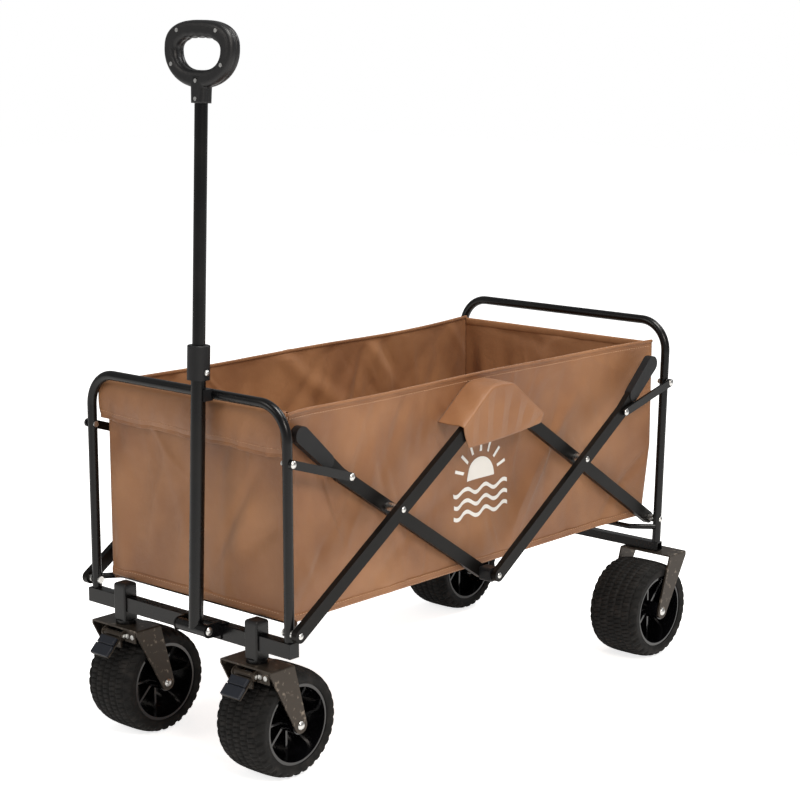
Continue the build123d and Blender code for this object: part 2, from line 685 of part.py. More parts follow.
def grip_hole():
    """Finger hole under the grip's top bar."""
    top = GRIP_TOP - GRIP_NECK - GRIP_BAR
    upper = [Pos(sign * 36, top - 14) * Circle(14) for sign in (-1, 1)]
    lower = [Pos(sign * 16, top - 28) * Circle(20) for sign in (-1, 1)]
    return make_hull(Sketch(children=upper + lower).edges())


def grip_body():
    """Whole grip, to be split into a front and a rear shell."""
    half = GRIP_D / 2
    outer = extrude(Plane.XZ * grip_outline(), half, both=True)
    shape = outer - extrude(Plane.XZ * grip_hole(), half + 1, both=True)
    faces = shape.faces().filter_by(Axis.Y)
    rims = [edge for face in faces for edge in face.outer_wire().edges() if edge.center().Z > 1]
    shape = fillet(rims, GRIP_ROUND)
    flat_faces = shape.faces().filter_by(Axis.Y)
    hole_wires = [wire for face in flat_faces for wire in face.inner_wires()]
    inner = [edge for wire in hole_wires for edge in wire.edges()]
    return fillet(inner, GRIP_ROUND)


def grip_shell(front):
    body = grip_body()
    y = (-GRIP_D, 0) if front else (0, GRIP_D)
    shell = body & block((-GRIP_W, GRIP_W), y, (-10, GRIP_TOP))
    shell -= Pos(0, 0, 14) * Cylinder(UPPER_R + 0.02, 36)
    for x, up in GRIP_SCREWS:
        shell -= Pos(x, -GRIP_D / 2, up) * Rot(90, 0, 0) * Cylinder(3.25, 4)
    return along_handle(shell, GRIP_NECK)


def grip_screws():
    """Screws that hold the two grip shells together, with round heads on the front."""
    heads = []
    for x, up in GRIP_SCREWS:
        heads.append(Pos(x, -GRIP_D / 2 + 0.8, up) * Rot(90, 0, 0) * Cylinder(3.2, 2.4))
    return Compound(children=[along_handle(head, GRIP_NECK) for head in heads])


# ---------------------------------------------------------------- basket
def basket_side():
    y = (BASKET_FRONT_Y + CLOTH, BASKET_REAR_Y)
    return block((SIDE_X - CLOTH, SIDE_X), y, (FLOOR_Z, RIM_Z))


def basket_front_panel():
    return block((-SIDE_X, SIDE_X), (BASKET_FRONT_Y, BASKET_FRONT_Y + CLOTH), (FLOOR_Z, RIM_Z))


def basket_rear_panel():
    half = SIDE_X - CLOTH - 0.4
    y = (BASKET_REAR_Y - CLOTH - 1, BASKET_REAR_Y - 1)
    return block((-half, half), y, (FLOOR_Z + CLOTH + 0.4, RIM_Z - 5))


def basket_floor():
    half = SIDE_X - CLOTH
    y = (BASKET_FRONT_Y + CLOTH, BASKET_REAR_Y - CLOTH - 1.5)
    return block((-half, half), y, (FLOOR_Z, FLOOR_Z + CLOTH))


# ---------------------------------------------------------------- write the pieces
def pieces():
    """Every node's name and shape."""
    made = {
        "front_u_frame": front_u_frame(),
        "front_cross_bar": front_cross_bar(),
        "caster_posts": caster_posts(),
        "frame_caps": frame_caps(),
        "front_floor_rod": front_floor_rod(),
        "handle_bracket": handle_bracket(),
        "handle_rest": handle_rest(),
        "front_bolts": front_bolts(),
        "basket_front_panel": basket_front_panel(),
        "basket_side_left": basket_side(),
        "basket_side_right": other_side(basket_side()),
        "basket_floor": basket_floor(),
        "front_outer_bar_left": leg_bar(-1, OUTER_X),
        "front_inner_bar_left": corner_bar(-1, FRONT_INNER_X),
        "rear_inner_bar_left": leg_bar(1, REAR_INNER_X),
        "rear_outer_bar_left": corner_bar(1, OUTER_X),
        "front_pivot_bolts": front_pivot_bolts(),
        "rear_pivot_bolts": rear_pivot_bolts(),
        "bottom_pivot_bolts": bottom_pivot_bolts(),
        "front_corner_caps": corner_caps(-1, FRONT_INNER_X),
        "rear_corner_caps": corner_caps(1, OUTER_X),
        "bottom_spacers": bottom_spacers(),
        "peak_hoods": both_sides(peak_hood()),
        "front_links": both_sides(link(-1, FRONT_LINK_LEG, FRONT_LINK_X)),
        "front_link_rivets": front_link_rivets(),
        "rear_links": both_sides(link(1, REAR_LINK_LEG, REAR_LINK_X)),
        "rear_link_rivets": rear_link_rivets(),
        "rear_u_frame": rear_u_frame(),
        "rear_cross_bar": rear_cross_bar(),
        "rear_forks": both_sides(fork(REAR_WHEEL_X, REAR_PLATE_Y, REAR_AXLE_Y)),
        "rear_bolts": rear_bolts(),
        "rear_floor_rod": rear_floor_rod(),
        "basket_rear_panel": basket_rear_panel(),
        "handle_lower_tube": handle_lower_tube(),
        "handle_collar": handle_collar(),
        "lock_button": lock_button(),
        "handle_upper_tube": handle_upper_tube(),
        "grip_front_shell": grip_shell(True),
        "grip_rear_shell": grip_shell(False),
        "grip_screws": grip_screws(),
    }
    for kind in ("front_outer", "front_inner", "rear_inner", "rear_outer"):
        made[f"{kind}_bar_right"] = other_side(made[f"{kind}_bar_left"])
    caster_y = -LEG_Y + TRAIL
    for side, sign in (("left", 1), ("right", -1)):
        x = sign * CASTER_X
        made[f"caster_fork_{side}"] = caster_fork(x)
        made[f"caster_pins_{side}"] = caster_pins(x)
        made[f"brake_lever_{side}"] = brake_lever(x)
        made[f"brake_pedal_{side}"] = brake_pedal(x)
        made[f"front_tyre_{side}"] = tyre(x, caster_y)
        made[f"front_rim_{side}"] = rim(x, caster_y)
        rear_x = sign * REAR_WHEEL_X
        made[f"rear_tyre_{side}"] = tyre(rear_x, REAR_AXLE_Y)
        made[f"rear_rim_{side}"] = rim(rear_x, REAR_AXLE_Y)
    return made


os.makedirs("parts", exist_ok=True)
for name, shape in pieces().items():
    solids = [Pos(0, SHIFT_Y, 0) * solid for solid in shape.solids()]
    export_step(solids[0] if len(solids) == 1 else Compound(solids), f"parts/{name}.step")
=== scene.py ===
"""Folding beach cart: its cloth, tyres, finishes, light and camera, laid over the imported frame.

Lengths are metres. X is across the cart, -Y is the handle's end and +Z is up.
"""

import json
import logging
import math
from dataclasses import dataclass
from enum import Enum
from functools import cache

import bmesh
import bpy
import numpy as np
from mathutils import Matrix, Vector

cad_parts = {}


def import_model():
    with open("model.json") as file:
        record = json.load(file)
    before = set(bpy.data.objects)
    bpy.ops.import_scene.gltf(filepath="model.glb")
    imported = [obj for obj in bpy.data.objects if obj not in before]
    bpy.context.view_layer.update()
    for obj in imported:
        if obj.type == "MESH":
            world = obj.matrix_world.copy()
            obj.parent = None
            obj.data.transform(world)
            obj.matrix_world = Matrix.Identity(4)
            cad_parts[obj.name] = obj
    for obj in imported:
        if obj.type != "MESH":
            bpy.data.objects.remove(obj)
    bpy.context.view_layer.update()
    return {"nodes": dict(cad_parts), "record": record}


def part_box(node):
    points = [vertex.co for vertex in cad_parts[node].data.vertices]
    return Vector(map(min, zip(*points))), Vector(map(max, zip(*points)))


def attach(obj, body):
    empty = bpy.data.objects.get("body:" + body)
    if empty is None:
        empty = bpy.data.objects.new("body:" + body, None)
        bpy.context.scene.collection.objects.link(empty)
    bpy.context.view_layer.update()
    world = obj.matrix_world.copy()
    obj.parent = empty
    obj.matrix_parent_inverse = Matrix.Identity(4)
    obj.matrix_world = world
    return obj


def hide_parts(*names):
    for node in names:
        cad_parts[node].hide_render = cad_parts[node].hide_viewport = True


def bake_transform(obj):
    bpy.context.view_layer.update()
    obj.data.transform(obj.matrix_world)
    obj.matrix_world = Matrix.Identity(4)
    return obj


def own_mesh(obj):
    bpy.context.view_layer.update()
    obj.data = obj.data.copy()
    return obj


log = logging.getLogger("beach_cart")
MM = 0.001
Links = dict[str, object]


class Side(Enum):
    """Which side of the cart a piece is on; the value is the sign of its X."""

    LEFT = 1
    RIGHT = -1


class End(Enum):
    """Which end of the cart a piece is at; the value is the sign of its Y."""

    FRONT = -1
    REAR = 1


# ---------------------------------------------------------------- finishes
def linear(colour: str) -> tuple[float, float, float, float]:
    """Turns an sRGB hex colour into a linear one.

    Args:
        colour: six hex digits after a hash sign.

    Returns:
        Linear red, green and blue, and an alpha of 1.
    """
    parts = [int(colour[i : i + 2], 16) / 255 for i in (1, 3, 5)]
    red, green, blue = (c / 12.92 if c <= 0.04045 else ((c + 0.055) / 1.055) ** 2.4 for c in parts)
    return red, green, blue, 1.0


def add_node(tree: bpy.types.NodeTree, kind: str, links: Links | None = None, **settings: object) -> bpy.types.Node:
    """Adds one shader node.

    Args:
        tree: the material's node tree.
        kind: the node's Blender type.
        links: input name or index to a value, or to the output socket that feeds it.
        settings: the node's own properties.

    Returns:
        The new node.
    """
    node = tree.nodes.new(kind)
    for name, value in settings.items():
        setattr(node, name, value)
    for name, value in (links or {}).items():
        if isinstance(value, bpy.types.NodeSocket):
            tree.links.new(value, node.inputs[name])
        else:
            node.inputs[name].default_value = value
    return node


def mix_colours(tree: bpy.types.NodeTree, amount: object, low: object, high: object) -> bpy.types.NodeSocket:
    """Colour that runs from low to high with amount.

    Args:
        tree: the material's node tree.
        amount: factor, or the socket that gives it.
        low: colour at 0, or its socket.
        high: colour at 1, or its socket.

    Returns:
        The mixed colour's socket.
    """
    return add_node(tree, "ShaderNodeMix", {0: amount, 6: low, 7: high}, data_type="RGBA").outputs[2]


def ramp(tree: bpy.types.NodeTree, value: object, low: float, high: float) -> bpy.types.NodeSocket:
    """Value stretched so that low becomes 0 and high becomes 1, and clamped."""
    node = add_node(tree, "ShaderNodeMapRange", {0: value, 1: low, 2: high}, clamp=True)
    return node.outputs[0]


@dataclass(frozen=True)
class Finish:
    """A plain finish. The finishes below add their pattern to its shader.

    Attributes:
        name: the material's name.
        colour: base colour, sRGB.
        roughness: the surface's roughness.
        metallic: 1 for bare metal.
        coat: weight of the clear gloss over it.
        specular: level of its plain highlight.
    """

    name: str
    colour: str
    roughness: float
    metallic: float = 0.0
    coat: float = 0.0
    specular: float = 0.5

    @cache
    def material(self) -> bpy.types.Material:
        """Returns the finish as a node material, made once and shared by the pieces that wear it."""
        made = bpy.data.materials.new(self.name)
        made.use_nodes = True
        tree = made.node_tree
        shader = tree.nodes["Principled BSDF"]
        shader.inputs["Base Color"].default_value = linear(self.colour)
        shader.inputs["Roughness"].default_value = self.roughness
        shader.inputs["Metallic"].default_value = self.metallic
        shader.inputs["Coat Weight"].default_value = self.coat
        shader.inputs["Specular IOR Level"].default_value = self.specular
        self.pattern(tree, shader)
        return made

    def noise(self, tree: bpy.types.NodeTree, size: float, detail: float = 2.0) -> bpy.types.NodeSocket:
        """Noise on Object coordinates whose blobs are about size metres across."""
        place = add_node(tree, "ShaderNodeTexCoord").outputs["Object"]
        return add_node(tree, "ShaderNodeTexNoise", {"Vector": place, "Scale": 1 / size, "Detail": detail}).outputs[0]

    def bump(
        self, tree: bpy.types.NodeTree, shader: bpy.types.Node, height: bpy.types.NodeSocket, depth: float
    ) -> None:
        """Feeds a bump of that depth in metres to the shader."""
        node = add_node(tree, "ShaderNodeBump", {"Height": height, "Distance": depth, "Strength": 1.0})
        tree.links.new(node.outputs[0], shader.inputs["Normal"])

    def pattern(self, tree: bpy.types.NodeTree, shader: bpy.types.Node) -> None:
        """Adds the finish's own colour, gloss and relief. A plain finish has none."""


class PowderCoat(Finish):
    """Powder-coated steel: baked polyester whose fine orange peel breaks up its satin highlights."""

    def pattern(self, tree: bpy.types.NodeTree, shader: bpy.types.Node) -> None:
        """Adds orange peel about 1.5 mm across and a slow change of gloss along the tube."""
        slow = self.noise(tree, 60 * MM)
        gloss = add_node(tree, "ShaderNodeMapRange", {0: slow, 3: self.roughness - 0.06, 4: self.roughness + 0.10})
        tree.links.new(gloss.outputs[0], shader.inputs["Roughness"])
        dust = mix_colours(tree, ramp(tree, slow, 0.5, 0.95), linear(self.colour), linear("#151311"))
        tree.links.new(dust, shader.inputs["Base Color"])
        self.bump(tree, shader, self.noise(tree, 1.5 * MM), 0.03 * MM)


class WornPaint(Finish):
    """Gunmetal paint on pressed plate, rubbed to brighter metal in small patches."""

    def pattern(self, tree: bpy.types.NodeTree, shader: bpy.types.Node) -> None:
        """Adds rubbed patches about 9 mm across, with scratches inside them."""
        rubbed = ramp(tree, self.noise(tree, 9 * MM, 8.0), 0.58, 0.72)
        colour = mix_colours(tree, rubbed, linear(self.colour), linear("#7A6F63"))
        tree.links.new(colour, shader.inputs["Base Color"])
        self.bump(tree, shader, self.noise(tree, 1.2 * MM, 3.0), 0.05 * MM)


class ZincPlate(Finish):
    """Bright zinc on turned and headed steel fasteners, faintly cloudy."""

    def pattern(self, tree: bpy.types.NodeTree, shader: bpy.types.Node) -> None:
        """Adds the plating's cloudy gloss, about 3 mm across."""
        gloss = add_node(tree, "ShaderNodeMapRange", {0: self.noise(tree, 3 * MM), 3: 0.18, 4: 0.42})
        tree.links.new(gloss.outputs[0], shader.inputs["Roughness"])


class MouldedPlastic(Finish):
    """Injection-moulded ABS or nylon with a spark-eroded grain, which keeps it dull."""

    def pattern(self, tree: bpy.types.NodeTree, shader: bpy.types.Node) -> None:
        """Adds a grain about 0.8 mm across, coarser than the real one so that it shows."""
        place = add_node(tree, "ShaderNodeTexCoord").outputs["Object"]
        grain = add_node(tree, "ShaderNodeTexVoronoi", {"Vector": place, "Scale": 1 / (0.8 * MM)})
        self.bump(tree, shader, grain.outputs["Distance"], 0.08 * MM)
        span = {0: self.noise(tree, 25 * MM), 3: self.roughness - 0.08, 4: self.roughness + 0.08}
        gloss = add_node(tree, "ShaderNodeMapRange", span)
        tree.links.new(gloss.outputs[0], shader.inputs["Roughness"])


class GlossPlastic(Finish):
    """Polished polypropylene, as moulded wheel dishes are: deep black with sharp highlights."""

    def pattern(self, tree: bpy.types.NodeTree, shader: bpy.types.Node) -> None:
        """Adds faint flow marks about 14 mm across."""
        self.bump(tree, shader, self.noise(tree, 14 * MM), 0.06 * MM)


class SolidTyre(Finish):
    """Foamed rubber, as moulded: dull and slightly dusty on its blocks."""

    def pattern(self, tree: bpy.types.NodeTree, shader: bpy.types.Node) -> None:
        """Adds dust in patches about 18 mm across and a pebbled skin about 1 mm across."""
        dust = ramp(tree, self.noise(tree, 18 * MM, 6.0), 0.48, 0.80)
        colour = mix_colours(tree, dust, linear(self.colour), linear("#24211F"))
        tree.links.new(colour, shader.inputs["Base Color"])
        self.bump(tree, shader, self.noise(tree, 1.0 * MM, 3.0), 0.10 * MM)


class OxfordCloth(Finish):
    """Coated polyester oxford: a basket weave with a slight sheen and rubbed creases."""

    def pattern(self, tree: bpy.types.NodeTree, shader: bpy.types.Node) -> None:
        """Adds the weave from the piece's own UV map, in metres, with threads drawn 1.6 mm apart.

        The real threads are about 0.5 mm apart, which is too fine to show.
        """
        place = add_node(tree, "ShaderNodeUVMap", uv_map="cloth").outputs[0]
        turns = math.tau / (1.6 * MM)
        band = {"Vector": place, "Scale": turns / 20, "Distortion": 0.0}
        weave = []
        for axis in ("X", "Y"):
            wave = add_node(tree, "ShaderNodeTexWave", band, bands_direction=axis)
            weave.append(wave.outputs["Fac"])
        both = add_node(tree, "ShaderNodeMath", {0: weave[0], 1: weave[1]}, operation="MULTIPLY").outputs[0]
        slow = self.noise(tree, 130 * MM, 3.0)
        light = linear("#A87750")
        dark = linear("#8A5D3D")
        cloudy = mix_colours(tree, ramp(tree, slow, 0.3, 0.7), dark, light)
        between = mix_colours(tree, 0.30, cloudy, linear("#513622"))
        threads = mix_colours(tree, ramp(tree, both, 0.0, 0.5), between, cloudy)
        tree.links.new(threads, shader.inputs["Base Color"])
        gloss = add_node(tree, "ShaderNodeMapRange", {0: slow, 3: self.roughness - 0.10, 4: self.roughness + 0.10})
        tree.links.new(gloss.outputs[0], shader.inputs["Roughness"])
        shader.inputs["Sheen Weight"].default_value = 0.08
        shader.inputs["Sheen Roughness"].default_value = 0.4
        puckers = add_node(tree, "ShaderNodeMath", {0: self.noise(tree, 22 * MM, 4.0), 1: 6.0}, operation="MULTIPLY")
        height = add_node(tree, "ShaderNodeMath", {0: both, 1: puckers.outputs[0]}, operation="ADD").outputs[0]
        self.bump(tree, shader, height, 0.16 * MM)


class WhiteSweep(Finish):
    """Matt white backdrop paper, lit from below so that only the contact shadows show."""

    def pattern(self, tree: bpy.types.NodeTree, shader: bpy.types.Node) -> None:
        """Adds the light from below, which the camera sees and the cart hardly gets."""
        seen = add_node(tree, "ShaderNodeLightPath").outputs["Is Camera Ray"]
        strength = add_node(tree, "ShaderNodeMapRange", {0: seen, 3: 0.15, 4: 0.78}).outputs[0]
        shader.inputs["Emission Color"].default_value = linear(self.colour)
        tree.links.new(strength, shader.inputs["Emission Strength"])


class Thread(Finish):
    """Bonded polyester sewing thread, a shade lighter than the cloth."""

    def pattern(self, tree: bpy.types.NodeTree, shader: bpy.types.Node) -> None:
        """Adds the thread's twist as a fine relief."""
        self.bump(tree, shader, self.noise(tree, 0.4 * MM), 0.05 * MM)


FINISHES = {
    "black_tube": PowderCoat("satin_powder_coat", "#060607", 0.26, specular=0.32),
    "bar_steel": PowderCoat("bar_powder_coat", "#080605", 0.38, specular=0.18),
    "fork_metal": WornPaint("gunmetal_paint", "#39322B", 0.42, metallic=0.6),
    "zinc": ZincPlate("bright_zinc", "#D2D2D0", 0.28, metallic=1.0),
    "black_plastic": MouldedPlastic("moulded_nylon", "#0F0F11", 0.48, specular=0.35),
    "grip_plastic": MouldedPlastic("moulded_grip", "#111113", 0.42, specular=0.40),
    "pedal_plastic": MouldedPlastic("pedal_nylon", "#10151F", 0.44, specular=0.40),
    "tyre_foam": SolidTyre("solid_tyre", "#0A0908", 0.74, specular=0.25),
    "rim_plastic": GlossPlastic("polished_dish", "#08080A", 0.16, coat=0.4),
    "oxford_cloth": OxfordCloth("oxford_cloth", "#9A6F52", 0.42, specular=0.40),
}
HEM_FINISH = OxfordCloth("hem_cloth", "#AC8062", 0.44, specular=0.35)
THREAD_FINISH = Thread("sewing_thread", "#B98F6E", 0.6)
PRINT_FINISH = Thread("white_print", "#EDEAE4", 0.5)


# ---------------------------------------------------------------- mesh building
def mesh_object(name: str, points: np.ndarray, quads: np.ndarray, uv: np.ndarray | None = None) -> bpy.types.Object:
    """Makes a smooth mesh object at the origin.

    Args:
        name: the piece's name.
        points: n by 3 places.
        quads: m by 4 point numbers.
        uv: n by 2 places on the flat cloth, in metres.

    Returns:
        The object, linked to the scene.
    """
    mesh = bpy.data.meshes.new(name)
    mesh.from_pydata(points.tolist(), [], quads.tolist())
    mesh.shade_smooth()
    if uv is not None:
        layer = mesh.uv_layers.new(name="cloth")
        corner = np.empty(len(mesh.loops), dtype=np.int32)
        mesh.loops.foreach_get("vertex_index", corner)
        layer.data.foreach_set("uv", uv[corner].astype(np.float32).ravel())
    made = bpy.data.objects.new(name, mesh)
    bpy.context.scene.collection.objects.link(made)
    return made


def grid_quads(rows: int, columns: int, ring: bool = False, flip: bool = False) -> np.ndarray:
    """Point numbers of the faces of a grid.

    Args:
        rows: points along the first parameter.
        columns: points along the second parameter.
        ring: the second parameter closes on itself.
        flip: turn the faces over.

    Returns:
        m by 4 point numbers.
    """
    index = np.arange(rows * columns).reshape(rows, columns)
    if ring:
        index = np.concatenate([index, index[:, :1]], axis=1)
    quads = np.stack([index[:-1, :-1], index[:-1, 1:], index[1:, 1:], index[1:, :-1]], axis=-1).reshape(-1, 4)
    return quads[:, ::-1] if flip else quads


def cloth_sheet(
    name: str, points: np.ndarray, uv: np.ndarray, thickness: float, flip: bool = False
) -> bpy.types.Object:
    """Sheet of cloth from a grid of places, given its thickness by Solidify.

    Args:
        name: the piece's name.
        points: rows by columns by 3 places.
        uv: rows by columns by 2 places on the flat cloth.
        thickness: of the cloth.
        flip: turn the faces over.

    Returns:
        The object.
    """
    rows, columns = points.shape[:2]
    made = mesh_object(name, points.reshape(-1, 3), grid_quads(rows, columns, flip=flip), uv.reshape(-1, 2))
    solid = made.modifiers.new("thickness", "SOLIDIFY")
    solid.thickness = thickness
    solid.offset = 0.0
    return made


def swept_ring(name: str, path: np.ndarray, out: np.ndarray, up: np.ndarray, profile: np.ndarray) -> bpy.types.Object:
    """Carries a closed profile along a path and closes both ends.

    Point (i, j) is path[i] plus profile[j] measured along out[i] and up[i].

    Args:
        name: the piece's name.
        path: n by 3 places.
        out: n by 3 directions of the profile's first axis.
        up: n by 3 directions of the profile's second axis.
        profile: k by 2 outline, in metres.

    Returns:
        The object.
    """
    points = path[:, None] + profile[None, :, :1] * out[:, None] + profile[None, :, 1:] * up[:, None]
    count = len(profile)
    step = np.concatenate([[0.0], np.cumsum(np.linalg.norm(np.diff(path, axis=0), axis=1))])
    round_it = np.linspace(0, 0.04, count)
    uv = np.stack(np.broadcast_arrays(step[:, None], round_it[None, :]), axis=-1)
    made = mesh_object(name, points.reshape(-1, 3), grid_quads(len(path), count, ring=True), uv.reshape(-1, 2))
    close_ends(made)
    return made


def soft_curve(corners: list[tuple[float, float]], count: int) -> np.ndarray:
    """Smooth curve drawn by cutting the corners of a chain of points, again and again.

    Each round puts two points on every span, a quarter and three quarters along it; the ends stay.

    Args:
        corners: the chain's points.
        count: how many points the curve gets, evenly spaced along its run.

    Returns:
        count by 2 points.
    """
    chain = np.array(corners, float)
    for _ in range(5):
        near = 0.75 * chain[:-1] + 0.25 * chain[1:]
        far = 0.25 * chain[:-1] + 0.75 * chain[1:]
        middle = np.stack([near, far], axis=1).reshape(-1, 2)
        chain = np.concatenate([chain[:1], middle, chain[-1:]])
    run = np.concatenate([[0.0], np.cumsum(np.linalg.norm(np.diff(chain, axis=0), axis=1))])
    at = np.linspace(0, run[-1], count)
    return np.stack([np.interp(at, run, chain[:, 0]), np.interp(at, run, chain[:, 1])], axis=1)


def close_ends(made: bpy.types.Object) -> None:
    """Closes a mesh's open ends and points every face outwards."""
    work = bmesh.new()
    work.from_mesh(made.data)
    bmesh.ops.holes_fill(work, edges=[edge for edge in work.edges if edge.is_boundary])
    bmesh.ops.recalc_face_normals(work, faces=work.faces)
    work.to_mesh(made.data)
    work.free()


def ring_profile(half_width: float, half_height: float, count: int = 16, power: float = 2.6) -> np.ndarray:
    """Superellipse outline: |x / w| and |y / h| to that power add up to 1."""
    turn = np.linspace(0, math.tau, count, endpoint=False)
    x = half_width * np.sign(np.cos(turn)) * np.abs(np.cos(turn)) ** (2 / power)
    y = half_height * np.sign(np.sin(turn)) * np.abs(np.sin(turn)) ** (2 / power)
    return np.stack([x, y], axis=1)


def stitch_row(name: str, path: np.ndarray, out: np.ndarray, pitch: float = 6 * MM) -> bpy.types.Object:
    """Row of stitches along a path: small six-sided dashes, a pitch apart.

    Args:
        name: the piece's name.
        path: n by 3 places along the seam.
        out: n by 3 directions away from the cloth.
        pitch: from one stitch to the next.

    Returns:
        One object that holds the whole row.
    """
    run = np.concatenate([[0.0], np.cumsum(np.linalg.norm(np.diff(path, axis=0), axis=1))])
    at = np.arange(pitch, run[-1] - pitch, pitch)
    centre = np.stack([np.interp(at, run, path[:, k]) for k in range(3)], axis=1)
    ahead = np.stack([np.interp(at + 0.5 * pitch, run, path[:, k]) for k in range(3)], axis=1) - centre
    along = ahead / np.linalg.norm(ahead, axis=1, keepdims=True)
    normal = np.stack([np.interp(at, run, out[:, k]) for k in range(3)], axis=1)
    across = np.cross(along, normal)
    half = np.array([[-0.33, 0.2], [-0.2, 1.0], [0.2, 1.0], [0.33, 0.2]])
    ring = np.linspace(0, math.tau, 6, endpoint=False)
    size = 0.55 * MM
    points = (
        centre[:, None, None]
        + half[None, :, None, :1] * pitch * along[:, None, None]
        + half[None, :, None, 1:] * size * (np.cos(ring)[None, None, :, None] * across[:, None, None]
                                            + np.sin(ring)[None, None, :, None] * normal[:, None, None])
    )
    quads = grid_quads(4, 6, ring=True)
    every = (np.arange(len(at)) * 24)[:, None, None] + quads[None]
    made = mesh_object(name, points.reshape(-1, 3), every.reshape(-1, 4))
    close_ends(made)
    return made


@dataclass(frozen=True)
class Creases:
    """Soft folds in stretched cloth.

    Attributes:
        seed: which set of folds.
        count: how many there are.
        depth: the deepest fold.
        length: the longest fold.
    """

    seed: int
    count: int
    depth: float
    length: float

    def at(self, a: np.ndarray, b: np.ndarray, width: float, height: float) -> np.ndarray:
        """Height of the cloth's surface over its flat plane.

        Each fold is a ridge: a bell curve across it, times a bell curve along it. The sum dies away at the edges.

        Args:
            a: places along the cloth.
            b: places up the cloth.
            width: the cloth's size along a.
            height: the cloth's size along b.

        Returns:
            Heights, shaped like a.
        """
        rng = np.random.default_rng(self.seed)
        middle_a = rng.uniform(0.03, 0.97, self.count) * width
        middle_b = rng.uniform(0.03, 0.97, self.count) * height
        slant = rng.normal(math.pi / 2, 0.55, self.count)
        wide = rng.uniform(4, 20, self.count) * MM
        long = rng.uniform(0.35, 1.0, self.count) * self.length
        tall = rng.normal(0, 0.5, self.count) * self.depth * wide / (16 * MM)
        total = np.zeros_like(a)
        for ma, mb, turn, w, length, t in zip(middle_a, middle_b, slant, wide, long, tall):
            along = (a - ma) * math.cos(turn) + (b - mb) * math.sin(turn)
            across = (b - mb) * math.cos(turn) - (a - ma) * math.sin(turn) + 0.08 * along**2 / self.length
            total += t * np.exp(-((across / w) ** 2)) * np.exp(-((along / length) ** 2))
        fade = np.minimum(1, np.minimum(a, width - a) / (15 * MM))
        fade = fade * np.minimum(1, np.minimum(b, height - b) / (18 * MM))
        return total * np.clip(fade, 0, 1)


# ---------------------------------------------------------------- basket
def ride_all(pieces: list[bpy.types.Object], body: str) -> None:
    """Lets pieces move with a body of the frame."""
    for piece in pieces:
        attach(piece, body)


def crumple(pieces: list[bpy.types.Object]) -> None:
    """Gives each piece its own copy of its mesh."""
    for piece in pieces:
        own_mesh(piece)


def corner_flare(y: np.ndarray, z: np.ndarray) -> np.ndarray:
    """How far the cloth spreads past its flat side near the basket's corners.

    At the rear it spreads above the inner bar, whose line falls towards the leg, and a little at every height.
    At the front it spreads only above the bar's tip.

    Args:
        y: places along the cart.
        z: heights.

    Returns:
        Distances, shaped like y.
    """
    bar_line = 0.2542 + 0.6568 * (0.4904 - y)
    rear = 0.014 * np.clip((y - 0.20) / 0.277, 0, 1) ** 1.5 * np.clip((z - bar_line - 0.02) / 0.12, 0, 1)
    rear = rear + 0.0095 * np.clip((y - 0.34) / 0.147, 0, 1) ** 1.5
    front = 0.012 * np.clip((-y - 0.40) / 0.055, 0, 1) ** 1.5 * np.clip((z - 0.577) / 0.018, 0, 1)
    return rear + front


